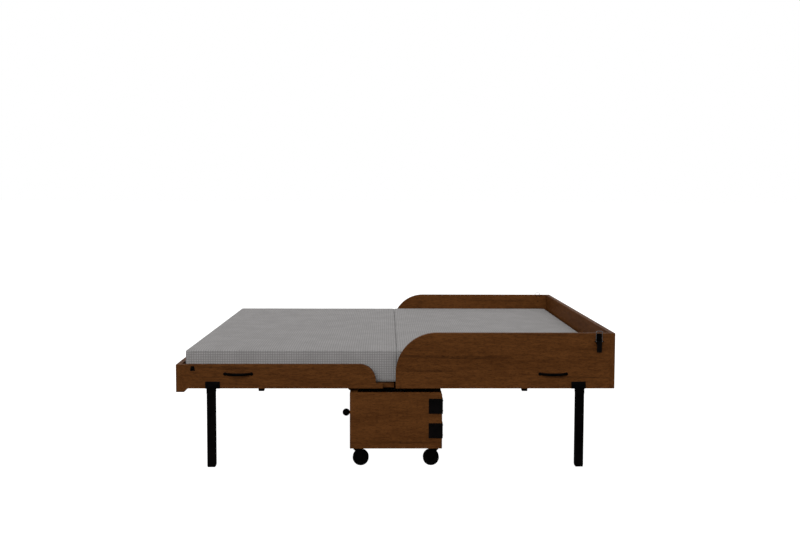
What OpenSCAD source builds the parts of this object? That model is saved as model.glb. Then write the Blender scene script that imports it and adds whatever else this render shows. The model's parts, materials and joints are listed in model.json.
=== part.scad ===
// Wall bed on a wheeled base. The two halves of the bed fold up on edge and
// stand face to face in the well of the base, where they look like a cabinet.
// X runs along the bed (foot -X, head +X), Y across it (near -Y, far +Y), Z up.
// The origin is on the floor under the middle of the open bed.

/* [Bed] */
// Length over the footboard and the headboard
bed_len = 2110; // [1750:5:2540]
// Width over the side boards
bed_w = 1660; // [1380:5:2000]
// Height of the underside of the open bed
underside = 384; // [372:1:460]
// Thickness of the platform boards
platform_t = 19; // [15:1:23]
// Thickness of the side boards
side_t = 22; // [18:1:27]
// Thickness of the footboard and the headboard
end_t = 24; // [18:1:29]

/* [Foot half] */
// Height of the foot side boards
foot_side_h = 116; // [97:1:139]
// Radius of the round at the inner end of the foot side boards
foot_round = 78; // [50:1:90]
// Height of the low strip that carries on past the round
foot_strip_h = 25; // [15:1:35]
// Depth of the moulding that hangs under the footboard
crown_drop = 17.5; // [8:0.5:25]
// Width of the moulding, from the outer face of the footboard
crown_w = 55.5; // [40:0.5:70]

/* [Head half] */
// Height of the head side boards
head_side_h = 269; // [224:1:323]
// Radius of the round at the inner end of the head side boards
head_round = 197; // [150:1:205]

/* [False doors] */
// Width of the stiles and rails round each recessed panel
door_frame_w = 73; // [50:1:88]
// How far each door frame stands proud of the face
door_frame_t = 4; // [2:0.5:5]
// Distance between the two doors of a pair
door_gap = 58; // [30:1:80]

/* [Mattress] */
// Gap round the edge of the mattress, to the side boards
mattress_edge_gap = 11; // [9:1:40]
// Gap between the two halves of the mattress when the bed is closed
mattress_fold_gap = 21; // [10:1:60]

/* [Base] */
// Thickness of the face frame and the drawer fronts
frame_t = 18; // [15:1:22]
// Thickness of the end panels
end_panel_t = 12; // [9:1:16]
// Thickness of the back board
back_t = 8; // [6:1:12]
// Thickness of the bottom panel
bottom_t = 12; // [9:1:15]
// Thickness of the well floor and the well front
well_t = 9; // [6:1:12]
// Height of the rail above the drawers
top_rail_h = 54; // [40:1:65]
// Height of the rail below the drawers
bottom_rail_h = 51; // [40:1:61]
// Width of the outer stiles, from the outer face of the base
outer_stile_w = 63; // [45:1:76]
// Half of the width of the middle stile
half_middle_stile = 56; // [40:1:70]
// How far the base stands in front of the closed doors
base_setback = 48; // [42:1:62]

/* [Drawers] */
// Height of the drawer trays
tray_h = 31; // [20:1:32]
// Length of the drawer trays, front to back
tray_len = 380; // [300:5:395]
// Thickness of the tray walls
tray_wall = 9; // [6:1:12]

/* [Casters] */
// Diameter of the wheels
wheel_d = 78; // [60:1:80]
// Width of the wheels
wheel_w = 30; // [20:1:34]
// Height of a caster, floor to base
caster_h = 95; // [88:1:105]
// Distance from the swivel axis to the wheel's axle
trail = 13; // [8:1:20]

/* [Legs] */
// Width of the square leg tubes
leg_w = 38; // [30:1:46]
// Wall of the leg tubes
leg_wall = 2.5; // [1.5:0.5:4]
// Distance from each end of the bed to the middle of its legs
leg_inset = 165; // [150:1:240]

/* [Fittings] */
// Radius of the hinge barrels
barrel_r = 7; // [6:0.5:8]
// Width of each hinge
hinge_w = 66; // [50:1:80]
// Diameter of the knobs
knob_d = 36; // [26:1:43]
// Length of the bow handles
handle_len = 144; // [110:1:173]
// How far the bow handles stand out
handle_out = 29; // [24:1:35]
// Distance from each end of the bed to the middle of its handles
handle_inset = 298; // [270:1:360]

/* [Hidden] */
$fn = 64;
wood = [0.29, 0.17, 0.09];
wood_dark = [0.22, 0.13, 0.07];
black = [0.06, 0.06, 0.065];
rubber = [0.03, 0.03, 0.03];
silver = [0.75, 0.75, 0.77];
cloth = [0.62, 0.62, 0.65];

// Clearances
slide_gap = 1.5;
swing_gap = 3;
back_gap = 1;
closing_gap = 2;
floor_gap = 2;
barrel_gap = 1;
fold_gap = 8;
mattress_end_gap = 5;
running = 0.05;

// Heights of the base
hinge_gap = 2 * (barrel_r + barrel_gap);
base_top = underside - hinge_gap;
base_bottom = caster_h;
base_h = base_top - base_bottom;

// Plan of the base
side_y = bed_w / 2;
inner_y = side_y - side_t;
frame_y = side_y + swing_gap;
base_y = frame_y + end_panel_t;
closed_d = foot_side_h + closing_gap + head_side_h;
base_d = base_setback + closed_d + back_gap + back_t;
base_x0 = -base_d / 2;
base_x1 = base_d / 2;
frame_x = base_x0 + frame_t;
back_x = base_x1 - back_t;

// Fold axes: the closed foot half shows its face at door_x, and both halves
// end level at the top
door_x = base_x0 + base_setback;
door_back_x = back_x - back_gap;
foot_px = door_x - hinge_gap / 2;
foot_pz = base_top + hinge_gap / 2;
head_px = (door_back_x + underside - foot_pz - foot_px) / 2;
head_pz = (door_back_x + underside + foot_pz + foot_px) / 2;

// Bed halves
half_len = bed_len / 2;
end_x = half_len - end_t;
deck = underside + platform_t;
head_x0 = -closing_gap;
foot_x1 = head_x0 - fold_gap;
foot_strip_back = 5;
foot_round_back = 35;
foot_strip_x = door_x + foot_side_h - foot_strip_back;
foot_round_x = foot_strip_x - foot_round_back;
seam_w = 6;
seam_x0 = head_x0 + 3;
mattress_t = (closed_d - 2 * platform_t - mattress_fold_gap) / 2;
mattress_y = inner_y - mattress_edge_gap;
mattress_x = end_x - mattress_end_gap;
rigid_gap = 10;
foot_split_x = foot_px - (deck - foot_pz) - rigid_gap;
head_split_x = head_px + rigid_gap;

// Well
foot_low = foot_pz - (seam_x0 - foot_px);
head_low = head_pz - (head_px - head_x0);
well_z = min(foot_low, head_low) - floor_gap;
strip_t = 18;
strip_x1 = foot_px - 2;
corner_round = 14;

// Drawers
drawer_y0 = half_middle_stile;
drawer_y1 = base_y - outer_stile_w;
drawer_z1 = base_top - top_rail_h;
tray_inset = 14;
tray_y0 = drawer_y0 + tray_inset;
tray_y1 = drawer_y1 - tray_inset;
tray_z0 = well_z - well_t - swing_gap - tray_h;
tray_floor = 5;
drawer_z0 = min(base_bottom + bottom_rail_h, tray_z0 - 1);
guide_w = 25;
guide_gap = 0.5;
knob_out = 42;
knob_stem_r = 8;
drawer_knob_inset = 84;
drawer_knob_drop = 78;
divider_t = 18;
guide_inset = 10;

// False doors
door_margin = 107;
door_mid = 61;
door_top_margin = 141;
door_low_margin = 45;
door_w = (side_y - door_margin - door_mid - door_gap) / 2;
door_x0 = -half_len + door_top_margin;
door_x1 = foot_px - door_low_margin;
door_ys = [door_mid, door_mid + door_w + door_gap];
door_knob_drop = 10;
door_knob_x = (door_x0 + door_x1) / 2 + door_knob_drop;

// Hinges
hinge_edge = 100;
hinge_ys = [for (k = [-2 : 2]) k * (side_y - hinge_edge) / 2];
leaf_t = 2.5;
leaf_len = 38;
pin_r = 3;
knuckles = 5;
knuckle_w = hinge_w / knuckles;

// Head pivots
pivot_r = 6;
pivot_plate_t = 6;
pivot_plate_y = inner_y - 2;
pivot_plate_r = min(13, back_x - head_px - 0.5);
notch_w = 12;
notch_x = head_px + 26;
pivot_bore = 13;

// Legs
leg_x = half_len - leg_inset;
leg_y = side_y - 1 - leg_w / 2;
ear_t = 4;
ear_gap = 1;
leg_top_gap = 2;
bracket_top_t = 3;
leg_pz = underside - bracket_top_t - leg_top_gap - leg_w / 2;
leg_pin_r = 5;
bracket_w = 69;
bracket_shift = 10;
bracket_h = 34;
glide_h = 6;

// Casters
plate_w = 56;
plate_t = 3;
wheel_inset = 51;
caster_inset = 53;
wheel_x = base_x1 - wheel_inset;
caster_y = base_y - caster_inset;
caster_ys = [-caster_y, -caster_y / 3, caster_y / 3, caster_y];
axle_r = 4;
fork_t = 3;
fork_gap = 1.5;
kingpin_r = 6;

// Handles
handle_rise = 71;
handle_bar = 12;
handle_h = 14;
handle_r = (pow(handle_len / 2, 2) + pow(handle_out, 2)) / (2 * handle_out);

// Latches
latch_inset = 80;
latch_drop = 31;
latch_out = 7;
latch_x = half_len - latch_inset;
latch_z = underside + head_side_h - latch_drop;
latch_y = side_y + latch_out;
lever_len = 60;
lever_w = 25;
stud_x = 21;
bail_rise = 50;
bail_x = 14.5;
wire_r = 1.5;
bail_dz = -8;
bail_dy = 1;
keeper_drop = 30;
keeper_h = 23;
keeper_z = underside + foot_side_h - keeper_drop;

// ---- Helpers ----

// A block from its lowest corner to its highest corner
module block(low, high) {
    translate(low) cube(high - low);
}

// An outline drawn in X and Z, extruded from y0 to y1
module across(y0, y1) {
    translate([0, y1, 0]) rotate([90, 0, 0]) linear_extrude(y1 - y0) children();
}

// A round bar along Y, at x and z
module bar_y(x, z, r, y0, y1) {
    translate([x, y0, z]) rotate([-90, 0, 0]) cylinder(r = r, h = y1 - y0);
}

// A round bar along X, at y and z
module bar_x(y, z, r, x0, x1) {
    translate([x0, y, z]) rotate([0, 90, 0]) cylinder(r = r, h = x1 - x0);
}

// What is drawn on the far side, put on the side that is asked for
module on_side(side) {
    if (side > 0) children();
    if (side < 0) mirror([0, 1, 0]) children();
}

module on_both_sides() {
    children();
    mirror([0, 1, 0]) children();
}

// A ball knob on a short stem, which stands up along Z
module knob() {
    translate([0, 0, knob_out - knob_d / 2]) sphere(r = knob_d / 2);
    cylinder(r = knob_stem_r, h = knob_out - knob_d / 2);
}

// ---- Base ----

module base_front_frame() {
    color(wood) difference() {
        block([base_x0, -frame_y, base_bottom], [frame_x, frame_y, base_top]);
        on_both_sides() block(
            [base_x0 - 1, drawer_y0 - slide_gap, drawer_z0 - slide_gap],
            [frame_x + 1, drawer_y1 + slide_gap, drawer_z1 + slide_gap]);
    }
}

// Outline of the base from the side, from x0 to its rounded rear corner
module base_outline(x0) {
    r = corner_round;
    translate([x0, base_bottom]) square([base_x1 - x0, base_h - r]);
    intersection() {
        translate([x0, base_top - r - 1]) square([base_x1 - x0, r + 1]);
        union() {
            translate([base_x0, base_top - r - 1]) square([base_d - r, r + 1]);
            translate([base_x1 - r, base_top - r]) circle(r);
        }
    }
}

module base_end(side) {
    color(wood) on_side(side) across(frame_y, base_y) base_outline(base_x0);
}

module base_back_board() {
    color(wood) across(-frame_y, frame_y) base_outline(back_x);
}

module base_bottom_panel() {
    color(wood_dark) block(
        [frame_x, -frame_y, base_bottom], [back_x, frame_y, base_bottom + bottom_t]);
}

module base_top_strip() {
    color(wood) block([frame_x, -frame_y, base_top - strip_t], [strip_x1, frame_y, base_top]);
}

// Floor and front of the well, with slots where the pivot brackets pass
module well_lining() {
    color(wood_dark) difference() {
        union() {
            block([frame_x, -frame_y, well_z - well_t], [back_x, frame_y, well_z]);
            block([frame_x, -frame_y, well_z], [frame_x + well_t, frame_y, base_top - strip_t]);
        }
        on_both_sides() block(
            [head_px - pivot_plate_r - 1, pivot_plate_y - pivot_plate_t - 1, well_z - well_t - 1],
            [back_x + 1, pivot_plate_y + 1, well_z + 1]);
    }
}

// Runners under the trays, the divider between them and cleats at the ends
module drawer_guides() {
    z0 = base_bottom + bottom_t;
    color(wood_dark) on_both_sides() {
        for (y = [tray_y0 - guide_inset, tray_y1 + guide_inset - guide_w])
            block([frame_x, y, z0], [back_x, y + guide_w, tray_z0 - guide_gap]);
        block([frame_x, frame_y - divider_t, z0],
            [head_px - pivot_plate_r - 16, frame_y, well_z - well_t]);
    }
    color(wood_dark) block([frame_x, -divider_t / 2, z0], [back_x, divider_t / 2, well_z - well_t]);
}

// Angle plates round the rear corners
module corner_plates() {
    plate_h = 73;
    plate_l = 68;
    t = 3;
    x1 = base_x1 + t;
    color(black) on_both_sides() for (z = [drawer_z0, base_top - 30 - plate_h]) {
        block([x1 - plate_l, base_y, z], [x1, base_y + t, z + plate_h]);
        block([base_x1, base_y + t - plate_l, z], [x1, base_y + t, z + plate_h]);
    }
}

module hinge_base_leaves() {
    tab_x = foot_px - barrel_r - 1.5;
    color(black) for (y = hinge_ys) translate([0, y - hinge_w / 2, 0]) {
        block([foot_px - leaf_len, 0, base_top], [tab_x, hinge_w, base_top + leaf_t]);
        for (k = [0 : 2 : knuckles - 1]) {
            block([tab_x - 1, k * knuckle_w, base_top],
                [foot_px, (k + 1) * knuckle_w, base_top + leaf_t]);
            bar_y(foot_px, foot_pz, barrel_r, k * knuckle_w, (k + 1) * knuckle_w);
        }
        bar_y(foot_px, foot_pz, pin_r, 1, hinge_w - 1);
    }
}

// Steel brackets that pass through the well floor and carry the head half
module head_pivots() {
    foot_z = base_bottom + bottom_t;
    color(black) on_both_sides() {
        across(pivot_plate_y - pivot_plate_t, pivot_plate_y) {
            translate([head_px, head_pz]) circle(pivot_plate_r);
            translate([head_px - pivot_plate_r, foot_z])
                square([2 * pivot_plate_r, head_pz - foot_z]);
        }
        bar_y(head_px, head_pz, pivot_r, pivot_plate_y - 1, inner_y + pivot_bore - 1);
        block([head_px - pivot_plate_r, pivot_plate_y - 1, foot_z],
            [head_px + pivot_plate_r, frame_y - 2, foot_z + 3]);
    }
}

// Distance from a caster's wheel to the middle of its plate
function caster_out(i) = (i == 0 || i == 3) ? trail : 0;

module caster_plates() {
    z0 = base_bottom - plate_t;
    color(black) for (sx = [-1, 1], i = [0 : 3])
        translate([sx * (wheel_x + caster_out(i)), caster_ys[i], 0]) {
            block([-plate_w / 2, -plate_w / 2, z0], [plate_w / 2, plate_w / 2, base_bottom]);
            if (caster_out(i) > 0) translate([0, 0, z0 - 8]) cylinder(r = kingpin_r, h = 9);
        }
}

// A fork round one wheel, with its axle at the origin's x and its top at z1
module fork(z1, shift) {
    r = wheel_d / 2;
    y0 = wheel_w / 2 + fork_gap;
    crown_z = wheel_d + 2;
    for (s = [-1, 1]) across(min(s * y0, s * (y0 + fork_t)), max(s * y0, s * (y0 + fork_t))) {
        polygon([[shift - 22, z1 - 3], [shift + 22, z1 - 3], [9, r], [-9, r]]);
        translate([0, r]) circle(9);
    }
    block([shift - 22, -y0 - fork_t, crown_z], [shift + 22, y0 + fork_t, z1 - 1]);
    bar_y(0, r, axle_r, -y0 - fork_t - 3, y0 + fork_t + 3);
}

module fixed_forks() {
    z1 = base_bottom - plate_t + 1;
    color(black) for (sx = [-1, 1], i = [1, 2])
        translate([sx * wheel_x, caster_ys[i], 0]) fork(z1, 0);
}

module swivel_fork(sx, i) {
    z1 = base_bottom - plate_t - 1;
    color(black) translate([sx * wheel_x, caster_ys[i], 0]) difference() {
        union() {
            fork(z1, sx * trail);
            translate([sx * trail, 0, z1 - 5]) cylinder(r = 24, h = 5);
        }
        translate([sx * trail, 0, wheel_d]) cylinder(r = kingpin_r + running, h = z1);
    }
}

module wheel(sx, i) {
    edge = 6;
    r = wheel_d / 2;
    color(rubber) translate([sx * wheel_x, caster_ys[i], r]) rotate([90, 0, 0])
        rotate_extrude() difference() {
            union() {
                translate([0, -wheel_w / 2]) square([r - edge, wheel_w]);
                translate([0, edge - wheel_w / 2]) square([r, wheel_w - 2 * edge]);
                for (s = [-1, 1])
                    translate([r - edge, s * (wheel_w / 2 - edge)]) circle(edge);
            }
            translate([-1, -wheel_w]) square([axle_r + running + 1, 2 * wheel_w]);
        }
}

// ---- Drawers ----

module drawer_front(side) {
    color(wood) on_side(side)
        block([base_x0, drawer_y0, drawer_z0], [frame_x, drawer_y1, drawer_z1]);
}

module drawer_tray(side) {
    color(wood_dark) on_side(side) difference() {
        block([frame_x, tray_y0, tray_z0], [frame_x + tray_len, tray_y1, tray_z0 + tray_h]);
        block([frame_x + tray_wall, tray_y0 + tray_wall, tray_z0 + tray_floor],
            [frame_x + tray_len - tray_wall, tray_y1 - tray_wall, tray_z0 + tray_h + 1]);
    }
}

module drawer_knobs(side) {
    color(black) on_side(side)
        for (y = [drawer_y0 + drawer_knob_inset, drawer_y1 - drawer_knob_inset])
            translate([base_x0, y, drawer_z1 - drawer_knob_drop]) rotate([0, -90, 0]) knob();
}

// ---- Foot half ----

module foot_platform() {
    color(wood) {
        block([-end_x, -inner_y, underside], [foot_strip_x - 2, inner_y, deck]);
        block([foot_strip_x - 3, 2 - inner_y, underside], [foot_x1, inner_y - 2, deck]);
    }
}

// Four frames that make the face look like shaker doors
module false_doors() {
    color(wood) on_both_sides() for (y = door_ys) difference() {
        block([door_x0, y, underside - door_frame_t], [door_x1, y + door_w, underside]);
        block([door_x0 + door_frame_w, y + door_frame_w, underside - door_frame_t - 1],
            [door_x1 - door_frame_w, y + door_w - door_frame_w, underside + 1]);
    }
}

module foot_side(side) {
    r = foot_round;
    top = underside + foot_side_h;
    color(wood) on_side(side) across(inner_y, side_y) {
        translate([-end_x, underside]) square([foot_round_x - r + end_x, foot_side_h]);
        translate([-end_x, underside])
            square([foot_round_x + end_x, max(foot_side_h - r, foot_strip_h)]);
        translate([-end_x, underside]) square([foot_strip_x + end_x, foot_strip_h]);
        intersection() {
            translate([foot_round_x - r, top - r]) circle(r, $fn = 128);
            translate([foot_round_x - r - 1, top - r - 1]) square(r + 2);
        }
    }
}

module foot_crown_board() {
    z0 = underside - crown_drop;
    color(wood) across(-side_y, side_y) polygon([
        [-half_len, z0], [-half_len + crown_w - crown_drop, z0],
        [-half_len + crown_w, underside], [-end_x, underside],
        [-end_x, underside + foot_side_h], [-half_len, underside + foot_side_h]]);
}

module foot_mattress() {
    color(cloth) block([-mattress_x, -mattress_y, deck],
        [foot_split_x, mattress_y, deck + mattress_t]);
}

module foot_mattress_fold() {
    color(cloth) block([foot_split_x, -mattress_y, deck],
        [seam_x0, mattress_y, deck + mattress_t]);
}

module door_knobs() {
    color(black) on_both_sides()
        for (y = [door_ys[0] + door_w - door_frame_w / 2, door_ys[1] + door_frame_w / 2])
            translate([door_knob_x, y, underside - door_frame_t]) mirror([0, 0, 1]) knob();
}

// A bow pull on both side boards, at x
module bow_handles(x) {
    pad = [20, 4];
    color(black) on_both_sides()
        translate([x, side_y, underside + handle_rise - handle_h / 2])
            linear_extrude(handle_h) {
                difference() {
                    intersection() {
                        translate([0, handle_out - handle_r]) circle(handle_r, $fn = 128);
                        translate([-handle_len, 0]) square([2 * handle_len, handle_len]);
                    }
                    translate([0, handle_out - handle_r])
                        circle(handle_r - handle_bar, $fn = 128);
                }
                for (x = [-handle_len / 2, handle_len / 2 - pad[0]]) translate([x, 0]) square(pad);
            }
}

module hinge_door_leaves() {
    tab_x = foot_px + barrel_r + 1.5;
    play = 0.3;
    color(black) for (y = hinge_ys) translate([0, y - hinge_w / 2, 0]) difference() {
        union() {
            block([tab_x, 0, underside - leaf_t], [foot_px + leaf_len, hinge_w, underside]);
            for (k = [1 : 2 : knuckles - 1]) {
                block([foot_px, k * knuckle_w + play, underside - leaf_t],
                    [tab_x + 1, (k + 1) * knuckle_w - play, underside]);
                bar_y(foot_px, foot_pz, barrel_r,
                    k * knuckle_w + play, (k + 1) * knuckle_w - play);
            }
        }
        bar_y(foot_px, foot_pz, pin_r + running, -1, hinge_w + 1);
    }
}

// Tapered plates with a lip that the wire bails of the latches catch
module latch_keepers() {
    color(black) on_both_sides() {
        across(side_y, side_y + 2.5) translate([-latch_x, keeper_z])
            polygon([[-11, 0], [11, 0], [7, keeper_h], [-7, keeper_h]]);
        block([-latch_x - 7, side_y + 2, keeper_z + keeper_h - 12],
            [-latch_x + 7, side_y + 10, keeper_z + keeper_h - 7]);
    }
}

// The bracket that holds the top of one leg, with its middle at x
module leg_bracket(x) {
    y0 = leg_y - leg_w / 2 - ear_gap - ear_t;
    y1 = leg_y + leg_w / 2 + ear_gap + ear_t;
    ear_z = underside - bracket_top_t;
    plate_x = x - sign(x) * bracket_shift;
    difference() {
        union() {
            block([plate_x - bracket_w / 2, y1 - ear_t, underside],
                [plate_x + bracket_w / 2, y1, underside + bracket_h]);
            block([x - leg_w / 2, y1 - ear_t, ear_z], [x + leg_w / 2, y1, underside + 1]);
            block([x - leg_w / 2, y0, ear_z], [x + leg_w / 2, y1, underside]);
            for (y = [y0, y1 - ear_t]) across(y, y + ear_t) {
                translate([x - leg_w / 2, leg_pz]) square([leg_w, ear_z - leg_pz + 1]);
                translate([x, leg_pz]) circle(leg_w / 2 - 4);
            }
        }
        bar_y(x, leg_pz, leg_pin_r + running, y0 - 1, y1 + 1);
    }
}

module foot_leg_brackets() {
    color(black) on_both_sides() leg_bracket(-leg_x);
}

// ---- Head half ----

module head_platform() {
    color(wood) difference() {
        block([head_x0, -inner_y, underside], [end_x, inner_y, deck]);
        on_both_sides() block([head_x0 - 1, inner_y - notch_w, underside - 1],
            [notch_x, inner_y + 1, deck + 1]);
    }
}

module head_side(side) {
    r = head_round;
    top = underside + head_side_h;
    color(wood) on_side(side) difference() {
        across(inner_y, side_y) {
            translate([head_x0 + r, underside]) square([end_x - head_x0 - r, head_side_h]);
            translate([head_x0, underside]) square([end_x - head_x0, head_side_h - r]);
            intersection() {
                translate([head_x0 + r, top - r]) circle(r, $fn = 128);
                translate([head_x0 - 1, top - r - 1]) square(r + 2);
            }
        }
        bar_y(head_px, head_pz, pivot_r + running, inner_y - 1, inner_y + pivot_bore);
    }
}

module head_end_board() {
    color(wood) block([end_x, -side_y, underside], [half_len, side_y, underside + head_side_h]);
}

module head_mattress() {
    color(cloth) block([head_split_x, -mattress_y, deck],
        [mattress_x, mattress_y, deck + mattress_t]);
}

module head_mattress_fold() {
    color(cloth) block([seam_x0 + seam_w, -mattress_y, deck],
        [head_split_x, mattress_y, deck + mattress_t]);
}

// Latch plates on the head side boards, with the axle of the lever
module latch_bodies() {
    color(black) on_both_sides() {
        block([latch_x - 13, side_y, latch_z - 20], [latch_x + 13, side_y + 2.5, latch_z + latch_drop - 1]);
        for (x = [-7.5, 4.5]) {
            block([latch_x + x, side_y + 2, latch_z - 6], [latch_x + x + 3, latch_y, latch_z + 6]);
            bar_x(latch_y, latch_z, 6, latch_x + x, latch_x + x + 3);
        }
        bar_x(latch_y, latch_z, 2.5, latch_x - 12.5, latch_x + 12.5);
    }
}

// The lever hangs from its axle and carries the studs of the bail
module latch_lever(side) {
    flange = 2;
    front_y = latch_y + 7;
    color(black) on_side(side) translate([latch_x, 0, latch_z]) difference() {
        union() {
            for (x = [-lever_w / 2, lever_w / 2 - flange]) {
                bar_x(latch_y, 0, 4, x, x + flange);
                block([x, latch_y - 3, -22], [x + flange, front_y + 1, 0]);
            }
            translate([0, front_y + 2, 0]) rotate([90, 0, 0]) linear_extrude(2) polygon([
                [-lever_w / 2, -4], [lever_w / 2, -4], [11, -lever_len], [-11, -lever_len]]);
            for (s = [-1, 1]) {
                bar_x(latch_y + bail_dy, bail_dz, wire_r,
                    s * (stud_x + lever_w / 2) / 2 - 5, s * (stud_x + lever_w / 2) / 2 + 5);
                bar_x(latch_y + bail_dy, bail_dz, 3, s * (stud_x - 1.5) - 1.5,
                    s * (stud_x - 1.5) + 1.5);
            }
        }
        bar_x(latch_y, 0, 2.5 + running, -20, 20);
    }
}

// Wire loop that rises from the lever
module latch_bail(side) {
    z0 = bail_dz;
    z1 = bail_dz + bail_rise;
    y = side * (latch_y + bail_dy);
    eye_w = wire_r + 0.3;
    color(silver) translate([latch_x, 0, latch_z]) difference() {
        union() {
            for (s = [-1, 1]) {
                bar_x(y, z0, 3.2, s * bail_x - eye_w, s * bail_x + eye_w);
                translate([s * bail_x, y, z0 + 2]) cylinder(r = wire_r, h = z1 - z0 - 2);
            }
            bar_x(y, z1, wire_r + 0.2, -bail_x - wire_r - 0.3, bail_x + wire_r + 0.3);
        }
        bar_x(y, z0, wire_r + running, -20, 20);
    }
}

module head_leg_brackets() {
    color(black) on_both_sides() leg_bracket(leg_x);
}

// ---- Legs ----

module leg(x, side) {
    y0 = leg_y - leg_w / 2;
    y1 = leg_y + leg_w / 2;
    ear_out = ear_gap + ear_t;
    w = leg_w / 2 - leg_wall;
    color(black) on_side(side) {
        difference() {
            union() {
                block([x - leg_w / 2, y0, glide_h], [x + leg_w / 2, y1, leg_pz]);
                bar_y(x, leg_pz, leg_w / 2, y0, y1);
            }
            block([x - w, y0 + leg_wall, glide_h + 10], [x + w, y1 - leg_wall, leg_pz - leg_w]);
        }
        block([x - leg_w / 2 + 1, y0 + 1, 0], [x + leg_w / 2 - 1, y1 - 1, glide_h]);
        bar_y(x, leg_pz, leg_pin_r, y0 - ear_out - 3, y1 + ear_out + 3);
        bar_y(x, leg_pz, 9, y0 - ear_out - 4, y0 - ear_out - 0.5);
        bar_y(x, leg_pz, 9, y1 + ear_out + 0.5, y1 + ear_out + 4);
    }
}

base_front_frame();
base_end(-1);  // base_end_near
base_end(1);  // base_end_far
base_back_board();
base_bottom_panel();
base_top_strip();
well_lining();
drawer_guides();
corner_plates();
hinge_base_leaves();
head_pivots();
caster_plates();
fixed_forks();
drawer_front(-1);  // drawer_front_near
drawer_tray(-1);  // drawer_tray_near
drawer_knobs(-1);  // drawer_knobs_near
drawer_front(1);  // drawer_front_far
drawer_tray(1);  // drawer_tray_far
drawer_knobs(1);  // drawer_knobs_far
foot_platform();
false_doors();
foot_side(-1);  // foot_side_near
foot_side(1);  // foot_side_far
foot_crown_board();
foot_mattress();
foot_mattress_fold();
door_knobs();
bow_handles(handle_inset - half_len);  // foot_handles
hinge_door_leaves();
latch_keepers();
foot_leg_brackets();
head_platform();
head_side(-1);  // head_side_near
head_side(1);  // head_side_far
head_end_board();
head_mattress();
head_mattress_fold();
bow_handles(half_len - handle_inset);  // head_handles
latch_bodies();
head_leg_brackets();
leg(-leg_x, -1);  // leg_foot_near
leg(-leg_x, 1);  // leg_foot_far
leg(leg_x, -1);  // leg_head_near
leg(leg_x, 1);  // leg_head_far
latch_lever(-1);  // latch_lever_near
latch_lever(1);  // latch_lever_far
latch_bail(-1);  // latch_bail_near
latch_bail(1);  // latch_bail_far
swivel_fork(-1, 0);  // swivel_fork_1
swivel_fork(-1, 3);  // swivel_fork_2
swivel_fork(1, 0);  // swivel_fork_3
swivel_fork(1, 3);  // swivel_fork_4
wheel(-1, 0);  // wheel_1
wheel(-1, 1);  // wheel_2
wheel(-1, 2);  // wheel_3
wheel(-1, 3);  // wheel_4
wheel(1, 0);  // wheel_5
wheel(1, 1);  // wheel_6
wheel(1, 2);  // wheel_7
wheel(1, 3);  // wheel_8
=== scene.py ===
# %% [markdown]
# # A wall bed that opens lengthways
# This bed is a low base on casters with two hinged halves. Folded up they stand face to face
# like a cabinet, and folded down they make a double bed. The frame that is loaded here already
# has every board, hinge and wheel in place, in metres, with Z up. The lesson adds what a maker
# would call the finish: eased edges, veneer, sewn covers, screws and turned knobs.

# %% Load the frame
import json
import math

import bmesh
import bpy
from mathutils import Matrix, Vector
from mathutils.bvhtree import BVHTree

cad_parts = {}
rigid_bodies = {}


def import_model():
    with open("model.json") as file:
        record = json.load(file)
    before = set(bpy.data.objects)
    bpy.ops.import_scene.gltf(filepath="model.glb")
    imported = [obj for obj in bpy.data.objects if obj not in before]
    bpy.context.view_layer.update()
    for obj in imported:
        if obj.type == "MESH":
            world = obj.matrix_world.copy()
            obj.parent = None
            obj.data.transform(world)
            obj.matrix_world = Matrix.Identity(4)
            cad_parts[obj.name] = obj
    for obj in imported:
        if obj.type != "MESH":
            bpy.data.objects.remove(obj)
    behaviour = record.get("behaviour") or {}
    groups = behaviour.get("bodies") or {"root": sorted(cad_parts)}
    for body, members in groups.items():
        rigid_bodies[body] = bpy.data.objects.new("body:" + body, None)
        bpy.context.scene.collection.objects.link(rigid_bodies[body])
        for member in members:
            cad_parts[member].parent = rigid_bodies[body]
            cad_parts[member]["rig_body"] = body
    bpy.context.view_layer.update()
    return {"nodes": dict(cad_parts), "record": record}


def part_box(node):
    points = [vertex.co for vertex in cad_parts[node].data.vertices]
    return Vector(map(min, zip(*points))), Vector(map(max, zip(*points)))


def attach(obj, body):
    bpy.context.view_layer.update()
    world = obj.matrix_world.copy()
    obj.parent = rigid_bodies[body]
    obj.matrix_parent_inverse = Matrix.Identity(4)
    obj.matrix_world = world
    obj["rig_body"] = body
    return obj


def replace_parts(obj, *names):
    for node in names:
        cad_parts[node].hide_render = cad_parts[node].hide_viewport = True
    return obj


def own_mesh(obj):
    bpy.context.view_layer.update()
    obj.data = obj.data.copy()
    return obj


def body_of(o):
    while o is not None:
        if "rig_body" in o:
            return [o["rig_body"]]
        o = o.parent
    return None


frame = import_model()
MM = 0.001
print("nodes in the frame:", len(frame["nodes"]))

# %% [markdown]
# ## Camera
# The bed is seen from its near side, a little above the mattress. A lens of 38 mm on a 36 mm
# sensor stands about five metres from the middle of the bed. The camera looks down only three
# degrees, so upright edges stay nearly upright, and a small vertical shift does the rest. It is
# held a fifth of a degree off level, as a hand would.

# %% Camera
LENS = 37.91
EYE = (-0.0464, -4.838, 1.290)
PITCH = math.radians(3.26)
TURN = math.radians(-0.888)
TILT = math.radians(-0.195)

camera_data = bpy.data.cameras.new("camera")
camera_data.lens = LENS
camera_data.sensor_width = 36
camera_data.shift_y = -0.0232
camera = bpy.data.objects.new("camera", camera_data)
camera.location = EYE
camera.rotation_euler = (math.pi / 2 - PITCH, TILT, TURN)
bpy.context.collection.objects.link(camera)
bpy.context.scene.camera = camera

# %% [markdown]
# ## Shader expressions
# A veneer is a sum of simple patterns, so it reads best as a sum. The first class holds one
# socket of a shader, and an arithmetic sign between two of them adds a Math node. Any other
# node comes from one method, which sets the node's own settings first and its sockets after.
# This keeps each finish to a few lines that say what the wood does.


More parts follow.
